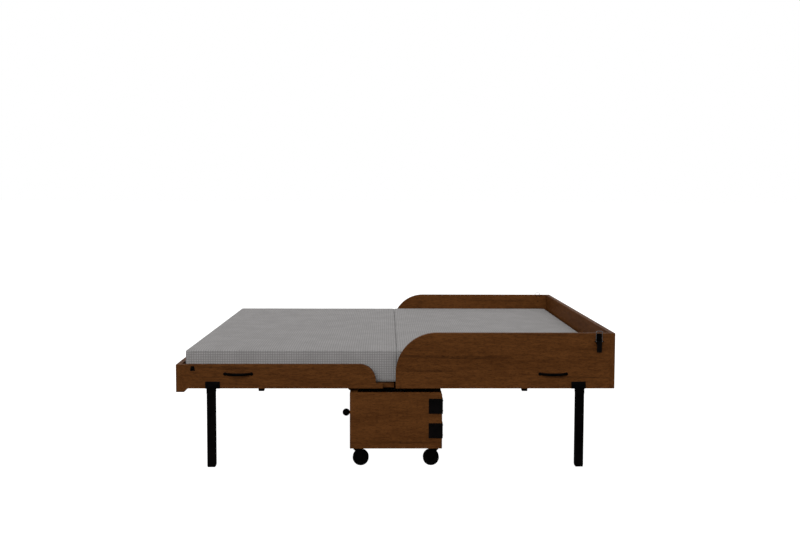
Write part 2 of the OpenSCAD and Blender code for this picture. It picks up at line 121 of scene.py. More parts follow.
# %% Shader expressions
class Wire:
    """One socket of a node tree, which the signs + - * join to others."""

    def __init__(self, tree, socket):
        self.tree = tree
        self.socket = socket

    def maths(self, operation, *values):
        return self.tree.node("ShaderNodeMath", {"operation": operation}, *values)

    def __add__(self, other):
        return self.maths("ADD", self, other)

    def __sub__(self, other):
        return self.maths("SUBTRACT", self, other)

    def __rsub__(self, other):
        return self.maths("SUBTRACT", other, self)

    def __mul__(self, other):
        return self.maths("MULTIPLY", self, other)

    __radd__ = __add__
    __rmul__ = __mul__


class Tree:
    """The nodes of a material or of the world."""

    def __init__(self, tree):
        self.tree = tree

    def plug(self, socket, value):
        if isinstance(value, Wire):
            self.tree.links.new(value.socket, socket)
        else:
            socket.default_value = value

    def node(self, kind, settings, *values, out=0, **named):
        made = self.tree.nodes.new(kind)
        for key, value in settings.items():
            setattr(made, key, value)
        for socket, value in zip(made.inputs, values):
            self.plug(socket, value)
        for key, value in named.items():
            self.plug(made.inputs[key.replace("_", " ")], value)
        return Wire(self, made.outputs[out])


class Finish(Tree):
    """A material, started from the constants of its shader."""

    def __init__(self, name, **constants):
        self.material = bpy.data.materials.new(name)
        self.material.use_nodes = True
        super().__init__(self.material.node_tree)
        self.shader = self.tree.nodes["Principled BSDF"]
        for socket, value in constants.items():
            self.shader.inputs[socket.replace("_", " ")].default_value = value

    def place(self):
        """Where a point lies on its piece, in metres."""
        return self.node("ShaderNodeTexCoord", {}, out="Object")

    def stretched(self, factors, shift=(0, 0, 0)):
        moved = self.node("ShaderNodeVectorMath", {"operation": "ADD"}, self.place(), shift)
        return self.node("ShaderNodeVectorMath", {"operation": "MULTIPLY"}, moved, factors)

    def noise(self, vector, scale, detail=3, distortion=0.0):
        return self.node("ShaderNodeTexNoise", {}, Vector=vector, Scale=scale, Detail=detail,
                         Distortion=distortion)

    def between(self, value, low, high):
        """0 below low, 1 above high and a smooth rise between them."""
        return self.node("ShaderNodeMapRange", {"interpolation_type": "SMOOTHSTEP"},
                         Value=value, From_Min=low, From_Max=high)

    def mix(self, factor, first, second):
        made = self.tree.nodes.new("ShaderNodeMix")
        made.data_type = "RGBA"
        for index, value in ((0, factor), (6, first), (7, second)):
            self.plug(made.inputs[index], value)
        return Wire(self, made.outputs[2])

    def bump(self, height, strength, distance):
        return self.node("ShaderNodeBump", {}, Height=height, Strength=strength,
                         Distance=distance)

    def wear(self, **wires):
        """Joins what varies over the surface to the shader."""
        for socket, wire in wires.items():
            self.plug(self.shader.inputs[socket.replace("_", " ")], wire)
        return self.material


# %% [markdown]
# ## Walnut veneer
# Dark walnut has slow bands along the board, a few thin veins and, over them, short flecks and
# finer pores. All are noise that is squeezed across the grain, each at its own scale. The
# polish is dull, so very little white light comes back and the brown stays deep. The boards
# are cut from different sheets, so each direction of grain gets its own shift of the pattern.

# %% Walnut veneer
WALNUT_DEEP = (0.0590, 0.0200, 0.0048, 1)
WALNUT_WARM = (0.0980, 0.0355, 0.0092, 1)
WALNUT_PORE = (0.0220, 0.0075, 0.0022, 1)


def walnut(name, grain, shift, light=1.0):
    finish = Finish(name, Specular_IOR_Level=0.02)

    def along(squeeze):
        return [1.0 if axis == grain else squeeze for axis in "XYZ"]

    bands = finish.noise(finish.stretched(along(8.0), shift), 2.0, 3, 0.3)
    veins = finish.noise(finish.stretched(along(32.0), shift), 1.1, 2, 0.2)
    flames = finish.noise(finish.stretched(along(6.0), shift), 20.0, 4, 0.2)
    flecks = finish.noise(finish.stretched(along(5.0), shift), 62.0, 2)
    pores = finish.noise(finish.stretched(along(6.0), shift), 170.0, 2)
    vein = finish.between(veins, 0.60, 0.70)
    fleck = finish.between(flecks, 0.50, 0.64)
    pore = finish.between(pores, 0.52, 0.68)
    tone = finish.between(bands * 0.45 + flames * 0.55, 0.30, 0.68)
    deep, warm = [[channel * light for channel in colour[:3]] + [1]
                  for colour in (WALNUT_DEEP, WALNUT_WARM)]
    veneer = finish.mix(tone, deep, warm)
    dark = vein * 0.35 + fleck * 0.42 + pore * 0.26
    veneer = finish.mix(dark.maths("MINIMUM", dark, 1), veneer, WALNUT_PORE)
    relief = 1 - fleck * 0.4 - pore * 0.6
    return finish.wear(
        Base_Color=veneer,
        Roughness=0.52 + pore * 0.14 - tone * 0.06,
        Normal=finish.bump(relief, 0.3, 0.0003))


walnut_x = walnut("walnut_along_x", "X", (3.1, 0.4, 0.9))
walnut_y = walnut("walnut_along_y", "Y", (0.7, 5.2, 1.8))
walnut_y_drawer = walnut("walnut_drawer", "Y", (4.7, 2.2, 3.3), 1.06)
walnut_door = walnut("walnut_door_panel", "X", (7.3, 3.6, 2.9), 0.92)
print("veneers: along the bed, across it, for the drawers and for the doors")

# %% [markdown]
# ## Board, metal, rubber, zinc
# What is hidden is plain dark board with a fine speckle. The steel has a satin black powder
# coat, whose orange peel is a small bump; its sharp edges carry a painted highlight, a lighter
# colour where they would catch the light. The wheels are moulded rubber, duller where they
# roll. The bails of the latches are zinc wire.


# %% Board, metal, rubber, zinc
def dark_board(name):
    finish = Finish(name, Specular_IOR_Level=0.02)
    chips = finish.noise(finish.stretched((1, 1, 1)), 420.0, 3)
    patch = finish.noise(finish.stretched((1, 4, 1)), 7.0, 3)
    colour = finish.mix(finish.between(chips * 0.6 + patch * 0.4, 0.35, 0.65),
                        (0.034, 0.0125, 0.0034, 1), (0.060, 0.0225, 0.0064, 1))
    return finish.wear(Base_Color=colour, Roughness=0.62 + chips * 0.2,
                       Normal=finish.bump(chips, 0.2, 0.0003))


def powder_coat(name):
    finish = Finish(name, Specular_IOR_Level=0.01)
    peel = finish.noise(finish.stretched((1, 1, 1)), 900.0, 2)
    cloud = finish.noise(finish.stretched((1, 1, 1)), 22.0, 3)
    edge = finish.node("ShaderNodeNewGeometry", {}, out="Pointiness")
    # painted highlight: sharp convex edges (high Pointiness) are coloured lighter, as if they
    # caught the light
    painted_edge_highlight = finish.between(edge, 0.53, 0.60)
    colour = finish.mix(finish.between(cloud, 0.35, 0.65),
                        (0.0008, 0.0006, 0.0006, 1), (0.0018, 0.0014, 0.0014, 1))
    colour = finish.mix(painted_edge_highlight * 0.4, colour, (0.006, 0.0055, 0.0055, 1))
    return finish.wear(Base_Color=colour, Roughness=0.48 + cloud * 0.12,
                       Normal=finish.bump(peel, 0.22, 0.00025))


def moulded_rubber(name):
    finish = Finish(name, Specular_IOR_Level=0.01)
    dust = finish.noise(finish.stretched((1, 1, 1)), 60.0, 4)
    colour = finish.mix(finish.between(dust, 0.45, 0.75),
                        (0.0010, 0.0009, 0.0009, 1), (0.0030, 0.0027, 0.0026, 1))
    return finish.wear(Base_Color=colour, Roughness=0.55 + dust * 0.25,
                       Normal=finish.bump(dust, 0.15, 0.0003))


def zinc(name):
    finish = Finish(name, Metallic=1.0)
    scratch = finish.noise(finish.stretched((30, 30, 2)), 60.0, 2)
    colour = finish.mix(scratch, (0.10, 0.10, 0.105, 1), (0.20, 0.20, 0.21, 1))
    return finish.wear(Base_Color=colour, Roughness=0.22 + scratch * 0.2)


inner_board = dark_board("dark_inner_board")
black_steel = powder_coat("black_powder_coat")
black_rubber = moulded_rubber("black_wheel_rubber")
zinc_wire = zinc("zinc_wire")

# %% [markdown]
# ## Mattress cover
# The cover is a light grey cloth with a small woven check. Raised lines run both ways every
# 12 mm, and between them the threads are finer still. Lines that run across a face would turn
# into a flat tint on it, so each set of lines fades where the surface faces along its own axis.


# %% Mattress cover
def woven_check(name):
    finish = Finish(name, Specular_IOR_Level=0.05, Sheen_Weight=0.05, Sheen_Roughness=0.5)
    check = 0.0115
    thread = 0.0016
    place = finish.node("ShaderNodeSeparateXYZ", {}, finish.place())
    normal = finish.node("ShaderNodeNewGeometry", {}, out="Normal")
    facing = finish.node("ShaderNodeSeparateXYZ", {}, normal)
    seams = 0
    threads = 0
    for axis in "XYZ":
        along = Wire(finish, place.socket.node.outputs[axis])
        faces = Wire(finish, facing.socket.node.outputs[axis])
        flat = 1 - finish.between(faces.maths("ABSOLUTE", faces), 0.4, 0.8)
        wave = along.maths("COSINE", along * (2 * math.pi / check))
        weave = along.maths("COSINE", along * (2 * math.pi / thread))
        seams = finish.between(wave, 0.35, 0.95) * flat + seams
        threads = weave * flat + threads
    mottle = finish.noise(finish.stretched((1, 1, 1)), 9.0, 4)
    fluff = finish.noise(finish.stretched((1, 1, 1)), 380.0, 2)
    cloth = finish.mix(finish.between(mottle, 0.35, 0.65),
                       (0.222, 0.214, 0.211, 1), (0.252, 0.243, 0.240, 1))
    line = seams.maths("MINIMUM", seams, 1)
    cloth = finish.mix(line * 0.7, cloth, (0.120, 0.115, 0.114, 1))
    cloth = finish.mix(fluff * 0.12, cloth, (0.38, 0.37, 0.365, 1))
    height = threads * 0.12 + fluff * 0.3 - line * 0.8
    return finish.wear(Base_Color=cloth, Roughness=0.84 + fluff * 0.12,
                       Normal=finish.bump(height, 0.5, 0.0009))


mattress_cloth = woven_check("grey_woven_check")

# %% [markdown]
# ## Eased edges
# A sawn board is never sharp: sandpaper takes a millimetre off every edge, and that small round
# is what catches the light. Each board and fitting of the frame is copied, its flat faces are
# joined up again, and its sharp edges are bevelled. The copy then stands for the frame's part.


# %% Eased edges
def clean_copy(node):
    """A mesh of one part of the frame, with flat faces in one piece each."""
    mesh = bmesh.new()
    mesh.from_mesh(frame["nodes"][node].data)
    bmesh.ops.remove_doubles(mesh, verts=mesh.verts, dist=0.002 * MM)
    bmesh.ops.dissolve_limit(mesh, angle_limit=math.radians(0.6), verts=mesh.verts,
                             edges=mesh.edges, use_dissolve_boundaries=False)
    return mesh


def finished(name, mesh, material, body, slot, smooth=35):
    """Turns a bmesh into a piece that rides on a body of the frame."""
    data = bpy.data.meshes.new(name)
    mesh.to_mesh(data)
    mesh.free()
    for face in data.polygons:
        face.use_smooth = True
    data.set_sharp_from_angle(angle=math.radians(smooth))
    data.materials.append(material)
    piece = bpy.data.objects.new(name, data)
    bpy.context.collection.objects.link(piece)
    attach(piece, body)
    return piece


def apply_modifiers(piece):
    bpy.context.view_layer.update()
    graph = bpy.context.evaluated_depsgraph_get()
    data = bpy.data.meshes.new_from_object(piece.evaluated_get(graph))
    piece.modifiers.clear()
    piece.data = data


def ease(piece, width):
    """Rounds the sharp edges of a piece by width, in mm."""
    bevel = piece.modifiers.new("ease", "BEVEL")
    bevel.width = width * MM
    bevel.segments = 2
    bevel.limit_method = "ANGLE"
    bevel.angle_limit = math.radians(32)
    bevel.harden_normals = True
    apply_modifiers(piece)


def eased(node, material, width):
    """Stands for a part of the frame, with its edges rounded by width, in mm."""
    body = body_of(frame["nodes"][node])[0]
    piece = finished(node + "_eased", clean_copy(node), material, body, slots[node])
    ease(piece, width)
    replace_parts(piece, node)


slots = {part["node"]: part["material_slot"] for part in frame["record"]["subparts"]}

# %% [markdown]
# ## Boards
# The grain follows the long side of a board: along the bed on the side boards and platforms,
# across it on the end boards, the face frame and the drawer fronts. When the halves stand up,
# the grain of the platform runs upright, which is how a cabinet door is cut.

# %% Boards
BOARD_EASE = 1.2
BOARDS = [
    (walnut_x, ["base_end_near", "base_end_far", "foot_side_near", "foot_side_far",
                "head_side_near", "head_side_far"]),
    (walnut_door, ["foot_platform", "head_platform"]),
    (walnut_y, ["base_front_frame", "base_back_board", "base_top_strip", "foot_crown_board",
                "head_end_board"]),
    (walnut_y_drawer, ["drawer_front_near", "drawer_front_far"]),
    (inner_board, ["base_bottom_panel", "well_lining", "drawer_guides", "drawer_tray_near",
                   "drawer_tray_far"]),
]
for veneer, nodes in BOARDS:
    for node in nodes:
        eased(node, veneer, BOARD_EASE)
print("boards:", sum(len(nodes) for veneer, nodes in BOARDS))

# %% [markdown]
# ## False doors
# The face of the foot half looks like four shaker doors. Each is two stiles that run the whole
# length, two rails between them and a sloping bead round the recessed panel. They are built as
# separate planks, so the joints show as fine lines and the grain turns at every corner.

# %% False doors
DOOR_FRAME = 73 * MM
DOOR_GAP = 58 * MM
DOOR_MID = 61 * MM
BEAD = 9 * MM
BEAD_FRONT = 0.6 * MM
BEAD_FOOT = 0.4 * MM
RAIL_BACK = 0.15 * MM
PLANK_EASE = 0.7
deck_low, deck_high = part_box("foot_platform")
doors_low, doors_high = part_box("false_doors")
FACE_Z = deck_low.z


def add_block(mesh, low, high):
    """Adds a box to a bmesh."""
    corners = [mesh.verts.new((x, y, z)) for x in (low[0], high[0])
               for y in (low[1], high[1]) for z in (low[2], high[2])]
    for face in ((0, 1, 3, 2), (4, 6, 7, 5), (0, 4, 5, 1), (2, 3, 7, 6), (0, 2, 6, 4),
                 (1, 5, 7, 3)):
        mesh.faces.new([corners[index] for index in face])


def door_edges():
    """The near and far edge of each false door."""
    outer = doors_high.y
    width = (outer - DOOR_MID - DOOR_GAP) / 2
    for sign in (-1, 1):
        for start in (DOOR_MID, outer - width):
            yield sorted((sign * start, sign * (start + width)))


stiles, rails, beads = bmesh.new(), bmesh.new(), bmesh.new()
x0, x1 = doors_low.x, doors_high.x
low_z = doors_low.z
for y0, y1 in door_edges():
    for start in (y0, y1 - DOOR_FRAME):
        add_block(stiles, (x0, start, low_z), (x1, start + DOOR_FRAME, FACE_Z))
    for start in (x0, x1 - DOOR_FRAME):
        add_block(rails, (start, y0 + DOOR_FRAME, low_z + RAIL_BACK),
                  (start + DOOR_FRAME, y1 - DOOR_FRAME, FACE_Z))
    rings = []
    for inset, z in ((0, low_z + BEAD_FRONT), (BEAD, FACE_Z - BEAD_FOOT), (BEAD, FACE_Z),
                     (0, FACE_Z)):
        edge = DOOR_FRAME + inset
        rings.append([beads.verts.new(point) for point in (
            (x0 + edge, y0 + edge, z), (x1 - edge, y0 + edge, z),
            (x1 - edge, y1 - edge, z), (x0 + edge, y1 - edge, z))])
    for ring, following in zip(rings, rings[1:] + rings[:1]):
        for corner in range(4):
            after = (corner + 1) % 4
            beads.faces.new((ring[corner], ring[after], following[after], following[corner]))
for mesh in (stiles, rails, beads):
    bmesh.ops.recalc_face_normals(mesh, faces=mesh.faces)
door_stiles = finished("door_stiles", stiles, walnut_x, "foot_half", "walnut")
door_rails = finished("door_rails", rails, walnut_y, "foot_half", "walnut")
finished("door_beads", beads, walnut_door, "foot_half", "walnut", 20)
for piece in (door_stiles, door_rails):
    ease(piece, PLANK_EASE)
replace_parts(door_stiles, "false_doors")

# %% [markdown]
# ## Turned knobs and wheels
# Anything turned on a lathe is an outline spun round an axis. The knob is a ball on a short
# foot. The wheel has a crowned tread, a dished side and a hub that runs on the axle. One
# function spins an outline and puts a copy at each place.


# %% Turned knobs and wheels
def arc(centre, radius, start, end, steps=6):
    """Points of an arc in an outline, with angles in degrees."""
    for step in range(steps + 1):
        angle = math.radians(start + (end - start) * step / steps)
        yield (centre[0] + radius * math.cos(angle), centre[1] + radius * math.sin(angle))


def spin(mesh, outline, place, axis, steps=40, closed=False):
    """Adds an outline of (radius, height) points in mm, spun round an axis at a place."""
    axis = Vector(axis).normalized()
    side = axis.orthogonal().normalized()
    other = axis.cross(side)
    rings = []
    for radius, height in outline:
        centre = Vector(place) + axis * (height * MM)
        if radius < 0.001:
            rings.append([mesh.verts.new(centre)])
            continue
        rings.append([mesh.verts.new(centre + radius * MM * (
            side * math.cos(2 * math.pi * step / steps)
            + other * math.sin(2 * math.pi * step / steps))) for step in range(steps)])
    pairs = list(zip(rings, rings[1:]))
    if closed:
        pairs.append((rings[-1], rings[0]))
    for ring, following in pairs:
        for step in range(steps):
            after = (step + 1) % steps
            if len(ring) == 1:
                mesh.faces.new((ring[0], following[step], following[after]))
            elif len(following) == 1:
                mesh.faces.new((ring[step], following[0], ring[after]))
            else:
                mesh.faces.new((ring[step], following[step], following[after], ring[after]))


KNOB_R = 18
KNOB_CENTRE = 24
KNOB = ([(0, 0), (9.8, 0), (9.8, 1.2), (8.4, 2.2), (7.6, 4.0), (7.6, 7.0)]
        + list(arc((0, KNOB_CENTRE), KNOB_R, -65, 90, 16)))


def knobs(name, node, places, axis, body):
    mesh = bmesh.new()
    for place in places:
        spin(mesh, KNOB, place, axis)
    bmesh.ops.recalc_face_normals(mesh, faces=mesh.faces)
    piece = finished(name, mesh, black_steel, body, slots[node], 50)
    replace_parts(piece, node)


knob_r = KNOB_R * MM
for side in ("near", "far"):
    node = "drawer_knobs_" + side
    low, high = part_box(node)
    knobs(node + "_turned", node,
          [(high.x, y, (low.z + high.z) / 2) for y in (low.y + knob_r, high.y - knob_r)],
          (-1, 0, 0), "drawer_" + side)
low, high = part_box("door_knobs")
pair_y = DOOR_GAP + DOOR_FRAME
knob_ys = [sign * (high.y - knob_r - step * pair_y) for sign in (-1, 1) for step in (0, 1)]
knobs("door_knobs_turned", "door_knobs",
      [((low.x + high.x) / 2, y, high.z) for y in knob_ys], (0, 0, -1), "foot_half")

HALF_TYRE = (list(arc((32.5, 8.5), 6.5, 8, 90, 6)) + [(30.0, 15), (29.0, 14.2), (27.6, 10.8),
             (14.0, 9.6), (11.8, 10.4), (11.2, 14.0), (10.2, 14.8), (4.6, 14.8), (4.05, 14.2)])
TYRE = HALF_TYRE + [(r, -y) for r, y in reversed(HALF_TYRE)]
for number in range(1, 9):
    node = "wheel_%d" % number
    low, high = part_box(node)
    mesh = bmesh.new()
    spin(mesh, TYRE, (low + high) / 2, (0, 1, 0), 56, closed=True)
    bmesh.ops.recalc_face_normals(mesh, faces=mesh.faces)
    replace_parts(finished(node + "_moulded", mesh, black_rubber, node, slots[node]), node)

# %% [markdown]
# ## Bow handles
# A bow handle is one bar bent to an arc. Its section is an oval that swells a little in the
# middle and runs out into a round foot at each end, where a screw holds it from inside. The
# bar is swept ring by ring along the arc that the plain part has.

# %% Bow handles
HANDLE_LEN = 144 * MM
HANDLE_OUT = 29 * MM
BAR_T = 12 * MM
BAR_HALF_TALL = 7 * MM
FOOT_INSET = 8.5 * MM


def bow(mesh, x, wall, sign, z):
    """One handle, with its feet on a wall that faces along Y."""
    half = HANDLE_LEN / 2
    radius = (half ** 2 + HANDLE_OUT ** 2) / (2 * HANDLE_OUT)
    middle = radius - BAR_T / 2
    reach = math.asin((half - 7 * MM) / radius)
    rings = []
    steps, sides = 36, 16
    for step in range(steps + 1):
        share = step / steps * 2 - 1
        angle = share * reach
        centre = Vector((x + middle * math.sin(angle), 0, z))
        out = HANDLE_OUT - radius + middle * math.cos(angle)
        thick = BAR_T / 2 * (0.80 + 0.20 * math.cos(share * math.pi / 2))
        tall = BAR_HALF_TALL * (0.86 + 0.14 * math.cos(share * math.pi / 2))
        ring = []
        for corner in range(sides):
            turn = 2 * math.pi * corner / sides
            radial = thick * math.cos(turn)
            ring.append(mesh.verts.new((
                centre.x + radial * math.sin(angle),
                wall + sign * max(out + radial * math.cos(angle), 0.2 * MM),
                centre.z + tall * math.sin(turn))))
        rings.append(ring)
    for ring, following in zip(rings, rings[1:]):
        for corner in range(sides):
            after = (corner + 1) % sides
            mesh.faces.new((ring[corner], ring[after], following[after], following[corner]))
    mesh.faces.new(rings[0])
    mesh.faces.new(rings[-1])
    foot = [(0, 0), (8.0, 0)] + list(arc((6.0, 2.0), 2.0, 0, 90, 4)) + [(0, 4.2)]
    for end in (-1, 1):
        spin(mesh, foot, (x + end * (half - FOOT_INSET), wall, z), (0, sign, 0), 24)


for half in ("foot", "head"):
    node = half + "_handles"
    low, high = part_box(node)
    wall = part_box(half + "_side_far")[1].y
    mesh = bmesh.new()
    for sign in (-1, 1):
        bow(mesh, (low.x + high.x) / 2, sign * wall, sign, (low.z + high.z) / 2)
    bmesh.ops.recalc_face_normals(mesh, faces=mesh.faces)
    piece = finished(node + "_bent", mesh, black_steel, half + "_half", slots[node], 50)
    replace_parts(piece, node)

# %% [markdown]
# ## Steel fittings
# Hinges, brackets, corner plates, forks, legs and latches keep the shape they have. Pressed
# steel has a small round on its edges too, less than a board's, so they are eased by half a
# millimetre or so, and the square tube of the legs by more.

# %% Steel fittings
FITTINGS = {
    1.0: ["leg_foot_near", "leg_foot_far", "leg_head_near", "leg_head_far"],
    0.7: ["foot_leg_brackets", "head_leg_brackets", "corner_plates", "fixed_forks",
          "swivel_fork_1", "swivel_fork_2", "swivel_fork_3", "swivel_fork_4"],
    0.5: ["hinge_base_leaves", "hinge_door_leaves", "head_pivots", "caster_plates"],
    0.35: ["latch_keepers", "latch_bodies", "latch_lever_near", "latch_lever_far"],
}
for width, nodes in FITTINGS.items():
    for node in nodes:
        eased(node, black_steel, width)

# %% [markdown]
# ## Wire bails
# A bail is one length of zinc wire, bent twice at the top and curled into an eye at each foot.
# The bends are quarter circles, so the wire keeps its thickness all the way round. A tube is
# swept along the route, and each eye is a ring spun round the stud that it hangs on.


# %% Wire bails
def tube(mesh, points, radius, sides=10):
    """A round tube through points, which lie in a plane that faces along Y."""
    rings = []
    for index, point in enumerate(points):
        before = points[max(index - 1, 0)]
        after = points[min(index + 1, len(points) - 1)]
        along = (after - before).normalized()
        across = along.cross(Vector((0, 1, 0)))
        rings.append([mesh.verts.new(point + radius * (
            across * math.cos(2 * math.pi * side / sides)
            + Vector((0, 1, 0)) * math.sin(2 * math.pi * side / sides)))
            for side in range(sides)])
    for ring, following in zip(rings, rings[1:]):
        for side in range(sides):
            after = (side + 1) % sides
            mesh.faces.new((ring[side], ring[after], following[after], following[side]))
    mesh.faces.new(rings[0])
    mesh.faces.new(rings[-1])


WIRE = 1.5 * MM
EYE_R = 3.2 * MM
EYE_RING = [(1.6, -1.5), (3.2, -1.5), (3.2, 1.5), (1.6, 1.5)]
BEND = 5 * MM
BAIL_HALF = 14.5 * MM
for side in ("near", "far"):
    node = "latch_bail_" + side
    low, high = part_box(node)
    x, y = (low.x + high.x) / 2, (low.y + high.y) / 2
    foot_z = low.z + EYE_R
    top_z = high.z - 0.2 * MM - WIRE
    route = [Vector((x - BAIL_HALF, y, foot_z + 2 * MM))]
    for corner_x, start in ((x - BAIL_HALF + BEND, 180), (x + BAIL_HALF - BEND, 90)):
        route += [Vector((px, y, pz)) for px, pz in arc((corner_x, top_z - BEND), BEND,
                                                        start, start - 90)]
    route.append(Vector((x + BAIL_HALF, y, foot_z + 2 * MM)))
    mesh = bmesh.new()
    tube(mesh, route, WIRE)
    for sign in (-1, 1):
        spin(mesh, EYE_RING, (x + sign * BAIL_HALF, y, foot_z), (1, 0, 0), 20, closed=True)
    bmesh.ops.recalc_face_normals(mesh, faces=mesh.faces)
    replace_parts(finished(node + "_bent", mesh, zinc_wire, "bail_" + side, slots[node]), node)

# %% [markdown]
# ## Screws
# A screw head is a low dome with a cross pressed into it. Its rings of points are the same all
# round, apart from four directions, where the inner rings are pushed down. The heads sit on
# the plates that they hold, and every row is worked out from the plate's own box.


# %% Screws
SCREW_SIDES = 16
CROSS_DEPTH = 0.34
HINGES = 5
LEAF_LEN = 66 * MM
LEAF_T = 2.5 * MM
CORNER_PLATE_H = 73 * MM


def screw(mesh, place, axis, radius):
    axis = Vector(axis).normalized()
    side = axis.orthogonal().normalized()
    other = axis.cross(side)
    rings = []
    for share, height in ((1.0, 0.0), (0.92, 0.30), (0.62, 0.48), (0.34, 0.52), (0.12, 0.52)):
        ring = []
        for step in range(SCREW_SIDES):
            pressed = CROSS_DEPTH if step % 4 == 0 and share < 0.7 else 0.0
            turn = 2 * math.pi * step / SCREW_SIDES
            ring.append(mesh.verts.new(
                Vector(place) + radius * share * (side * math.cos(turn) + other * math.sin(turn))
                + axis * radius * (height - pressed)))
        rings.append(ring)
    for ring, following in zip(rings, rings[1:]):
        for step in range(SCREW_SIDES):
            after = (step + 1) % SCREW_SIDES
            mesh.faces.new((ring[step], ring[after], following[after], following[step]))
    mesh.faces.new(rings[-1])
    mesh.faces.new(rings[0])


def screws(name, body, places):
    mesh = bmesh.new()
    for place, axis, radius in places:
        screw(mesh, place, axis, radius * MM)
    bmesh.ops.recalc_face_normals(mesh, faces=mesh.faces)
    finished(name, mesh, black_steel, body, "black_metal", 30)
    print(name, len(places))


def leaf_rows(low, high):
    """Where the three screws of each hinge leaf lie along Y."""
    for hinge in range(HINGES):
        y = low.y + (high.y - low.y - LEAF_LEN) * hinge / (HINGES - 1)
        for share in (1 / 6, 3 / 6, 5 / 6):
            yield y + LEAF_LEN * share


def base_screws():
    low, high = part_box("corner_plates")
    for sign in (-1, 1):
        for z in (low.z, high.z - CORNER_PLATE_H):
            for dz in (12 * MM, CORNER_PLATE_H - 12 * MM):
                for step in (14 * MM, 48 * MM):
                    yield (high.x - step, sign * high.y, z + dz), (0, sign, 0), 4
                    yield (high.x, sign * (high.y - step), z + dz), (1, 0, 0), 4
    low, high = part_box("hinge_base_leaves")
    for y in leaf_rows(low, high):
        yield (low.x + 11 * MM, y, low.z + LEAF_T), (0, 0, 1), 3


def half_screws(half):
    low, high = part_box(half + "_leg_brackets")
    for sign in (-1, 1):
        for x in (low.x + 10 * MM, high.x - 10 * MM):
            yield (x, sign * high.y, high.z - 16 * MM), (0, sign, 0), 4
        yield ((low.x + high.x) / 2, sign * high.y, high.z - 10 * MM), (0, sign, 0), 4


def foot_screws():
    yield from half_screws("foot")
    low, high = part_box("hinge_door_leaves")
    for y in leaf_rows(low, high):
        yield (high.x - 11 * MM, y, high.z - LEAF_T), (0, 0, -1), 3
    low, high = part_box("latch_keepers")
    for sign in (-1, 1):
        for dx in (5 * MM, 17 * MM):
            yield (low.x + dx, sign * (high.y - 7.5 * MM), low.z + 6 * MM), (0, sign, 0), 2.2


def head_screws():
    yield from half_screws("head")
    low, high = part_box("latch_bodies")
    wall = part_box("head_side_far")[1].y + 2.5 * MM
    for sign in (-1, 1):
        for z in (low.z + 5 * MM, high.z - 5 * MM):
            yield ((low.x + high.x) / 2, sign * wall, z), (0, sign, 0), 2.2
    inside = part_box("head_platform")[1].y
    for sign in (-1, 1):
        for dx, dz in ((-9, 42), (9, 42), (0, 8)):
            yield (((low.x + high.x) / 2 + dx * MM, sign * inside, low.z + dz * MM),
                   (0, -sign, 0), 3.4)


screws("base_screws", "base", list(base_screws()))
screws("foot_screws", "foot_half", list(foot_screws()))
screws("head_screws", "head_half", list(head_screws()))

# %% [markdown]
# ## Mattress
# Each half is a foam block in a sewn cover: full, with soft edges, slightly crowned on top and
# flat underneath. It starts as a rounded box a few millimetres too small. Cloth simulation
# blows the cover up from inside, every point's travel is capped, and the underside is pressed
# flat on the platform again. Where the halves meet, each end is pressed to a plane, so the
# seam stays a fine line. Two rows of piping then follow the sides of each cover all round.

# %% Mattress
CELL = 24 * MM
EDGE = 10 * MM
SEAM_X = 4 * MM
START_SMALLER = 3.5 * MM
TRAVEL = 5 * MM
FRAMES = 14
SEAM_GAP = 0.3 * MM
UNDERSIDE = 0.5 * MM
PIPING_R = 1.8 * MM
PIPING_LOW = 20 * MM
PIPING_HIGH = 11 * MM
PIPING_CORNER = 60 * MM
PIPING_STEP = 30 * MM


def marks(low, high, cell, radius):
    """Even steps from low to high, with one step of the radius at each end."""
    steps = max(1, round((high - low - 2 * radius) / cell))
    span = high - low - 2 * radius
    return [low] + [low + radius + span * step / steps for step in range(steps + 1)] + [high]


def rounded_box(mesh, low, high, cell, radius):
    """A closed box of small squares, with edges and corners rounded by radius."""
    rows = [marks(low[axis], high[axis], cell, radius) for axis in range(3)]
    points = {}

    def point(index):
        if index not in points:
            raw = Vector([rows[axis][index[axis]] for axis in range(3)])
            core = Vector([min(max(raw[axis], low[axis] + radius), high[axis] - radius)
                           for axis in range(3)])
            away = raw - core
            if away.length > 0:
                raw = core + away.normalized() * radius
            points[index] = mesh.verts.new(raw)
        return points[index]

    for axis in range(3):
        second, third = (axis + 1) % 3, (axis + 2) % 3
        for end in (0, len(rows[axis]) - 1):
            for i in range(len(rows[second]) - 1):
                for j in range(len(rows[third]) - 1):
                    corners = []
                    for di, dj in ((0, 0), (1, 0), (1, 1), (0, 1)):
                        index = [0, 0, 0]
                        index[axis], index[second], index[third] = end, i + di, j + dj
                        corners.append(point(tuple(index)))
                    mesh.faces.new(corners)
    bmesh.ops.recalc_face_normals(mesh, faces=mesh.faces)


def blow_up(piece):
    """Fills the cover by cloth simulation, with the travel of every point capped."""
    start = [vertex.co.copy() for vertex in piece.data.vertices]
    cloth = piece.modifiers.new("cover", "CLOTH")
    cloth.settings.quality = 4
    cloth.settings.mass = 0.4
    cloth.settings.tension_stiffness = 18
    cloth.settings.compression_stiffness = 18
    cloth.settings.shear_stiffness = 8
    cloth.settings.bending_stiffness = 3
    cloth.settings.use_pressure = True
    cloth.settings.uniform_pressure_force = 3.5
    cloth.settings.effector_weights.gravity = 0
    cloth.point_cache.frame_start = 1
    cloth.point_cache.frame_end = FRAMES
    scene = bpy.context.scene
    for number in range(1, FRAMES + 1):
        scene.frame_set(number)
    apply_modifiers(piece)
    scene.frame_set(1)
    for vertex, origin in zip(piece.data.vertices, start):
        moved = vertex.co - origin
        if moved.length > TRAVEL:
            vertex.co = origin + moved.normalized() * TRAVEL


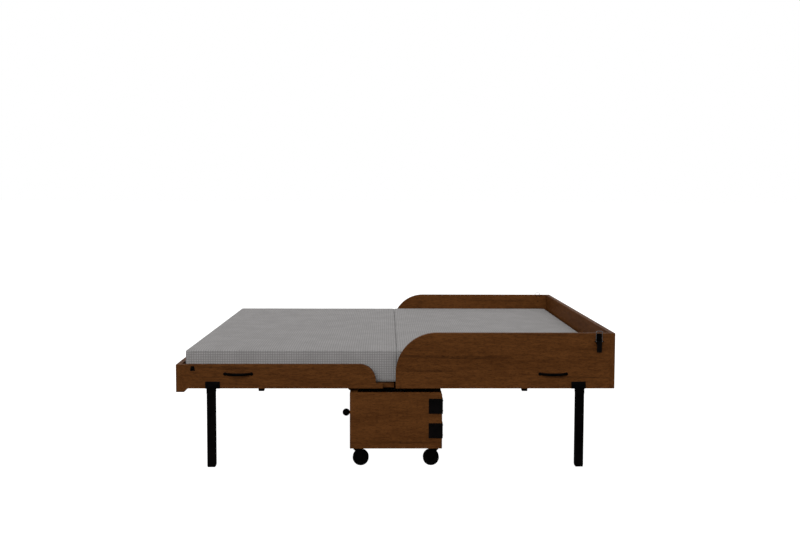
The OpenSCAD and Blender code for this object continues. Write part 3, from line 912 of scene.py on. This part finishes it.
def piping(name, piece, low, high, z, body):
    """A sewn cord that follows the cover all round at one height."""
    tree = BVHTree.FromObject(piece, bpy.context.evaluated_depsgraph_get())
    centre = Vector(((low.x + high.x) / 2, (low.y + high.y) / 2, z))
    half_x, half_y = (high.x - low.x) / 2 - EDGE, (high.y - low.y) / 2 - EDGE
    route = []
    for cx, cy, start in ((1, 1, 0), (-1, 1, 90), (-1, -1, 180), (1, -1, 270)):
        for px, py in arc((centre.x + cx * half_x, centre.y + cy * half_y),
                          PIPING_CORNER, start, start + 90, 8):
            route.append(Vector((px, py, z)))
    dense = []
    for first, second in zip(route, route[1:] + route[:1]):
        parts = max(1, round((second - first).length / PIPING_STEP))
        dense += [first.lerp(second, part / parts) for part in range(parts)]
    seam = []
    for point in dense:
        core = Vector((min(max(point.x, centre.x - half_x), centre.x + half_x),
                       min(max(point.y, centre.y - half_y), centre.y + half_y), z))
        hit = tree.ray_cast(point, (core - point).normalized())[0]
        seam.append(hit if hit is not None else point)
    length = sum((second - first).length for first, second in zip(seam, seam[1:] + seam[:1]))
    print(name, "is %.0f mm long" % (length / MM))
    mesh = bmesh.new()
    sides, rings = 8, []
    for index, point in enumerate(seam):
        along = (seam[(index + 1) % len(seam)] - seam[index - 1]).normalized()
        out = along.cross(Vector((0, 0, 1)))
        rings.append([mesh.verts.new(point + PIPING_R * (
            out * math.cos(2 * math.pi * side / sides)
            + Vector((0, 0, 1)) * math.sin(2 * math.pi * side / sides)))
            for side in range(sides)])
    for ring, following in zip(rings, rings[1:] + rings[:1]):
        for side in range(sides):
            after = (side + 1) % sides
            mesh.faces.new((ring[side], ring[after], following[after], following[side]))
    for vertex in mesh.verts:
        vertex.co.x = min(max(vertex.co.x, low.x), high.x)
    bmesh.ops.recalc_face_normals(mesh, faces=mesh.faces)
    return finished(name, mesh, mattress_cloth, body, "mattress_cloth", 60)


def mattress(half, outer, fold):
    """One half of the mattress, in the space of its two plain blocks."""
    boxes = [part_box(outer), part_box(fold)]
    low = Vector([min(box[0][axis] for box in boxes) for axis in range(3)])
    high = Vector([max(box[1][axis] for box in boxes) for axis in range(3)])
    inset = Vector((START_SMALLER,) * 3)
    start, end = low + inset, high - inset
    if half == "foot":
        high.x = SEAM_X - SEAM_GAP
        end.x = high.x + EDGE * 0.8
    else:
        low.x = SEAM_X + SEAM_GAP
        start.x = low.x - EDGE * 0.8
    mesh = bmesh.new()
    rounded_box(mesh, start, end, CELL, EDGE)
    piece = finished(half + "_mattress_cover", mesh, mattress_cloth, half + "_half",
                     "mattress_cloth", 180)
    blow_up(piece)
    rest = low.z + UNDERSIDE
    for vertex in piece.data.vertices:
        if vertex.co.z < low.z + START_SMALLER + 1.5 * MM:
            vertex.co.z = rest
    smooth = piece.modifiers.new("smooth", "SUBSURF")
    smooth.levels = smooth.render_levels = 1
    apply_modifiers(piece)
    for vertex in piece.data.vertices:
        vertex.co.x = min(max(vertex.co.x, low.x), high.x)
        vertex.co.z = max(vertex.co.z, rest)
    for face in piece.data.polygons:
        face.use_smooth = True
    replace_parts(piece, outer, fold)
    bpy.context.view_layer.update()
    cords = []
    for number, z in enumerate((low.z + PIPING_LOW, high.z - PIPING_HIGH), 1):
        cords.append(piping("%s_mattress_piping_%d" % (half, number), piece, low, high, z,
                            half + "_half"))
    print(half, "mattress:", len(piece.data.vertices), "points")
    return [piece] + cords


foot_soft = mattress("foot", "foot_mattress", "foot_mattress_fold")
mattress("head", "head_mattress", "head_mattress_fold")
for piece in foot_soft:
    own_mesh(piece)

# %% [markdown]
# ## Room and light
# The bed stands on a floor that glows white, as in a shop's catalogue. The floor hides from
# bounced light, so it doesn't light the boards from below. The world is a white sky over a
# dark ground, and a broad, soft sun from the front lifts the sides.

# %% Room and light
REACH = 400
floor_mesh = bpy.data.meshes.new("floor")
floor_mesh.from_pydata([(-REACH, -REACH, 0), (REACH, -REACH, 0), (REACH, REACH, 0),
                        (-REACH, REACH, 0)], [], [(0, 1, 2, 3)])
floor = bpy.data.objects.new("floor", floor_mesh)
floor_finish = Finish("lit_floor", Roughness=0.8, Specular_IOR_Level=0.0,
                      Emission_Color=(1, 1, 1, 1), Emission_Strength=1.0)
floor_cloud = floor_finish.noise(floor_finish.stretched((1, 1, 1)), 0.8, 2)
floor_mesh.materials.append(floor_finish.wear(Base_Color=floor_finish.mix(
    floor_cloud, (0.20, 0.20, 0.20, 1), (0.24, 0.24, 0.24, 1))))
floor.visible_diffuse = False
floor.visible_glossy = False
bpy.context.collection.objects.link(floor)

sun_data = bpy.data.lights.new("front_sun", "SUN")
sun_data.energy = 1.4
sun_data.angle = math.radians(40)
sun = bpy.data.objects.new("front_sun", sun_data)
sun.rotation_euler = Vector((0.35, 1.0, -0.50)).to_track_quat("-Z", "Y").to_euler()
bpy.context.collection.objects.link(sun)

world = bpy.data.worlds.new("sky_over_dark_ground")
world.use_nodes = True
sky = Tree(world.node_tree)
direction = sky.node("ShaderNodeTexCoord", {}, out="Generated")
rise = sky.node("ShaderNodeSeparateXYZ", {}, direction, out="Z")
brightness = sky.node("ShaderNodeMapRange", {}, Value=rise, From_Min=-0.08, From_Max=-0.02,
                      To_Min=0.10)
sky.plug(world.node_tree.nodes["Background"].inputs["Color"], brightness)
bpy.context.scene.world = world
bpy.context.scene.view_settings.view_transform = "Standard"
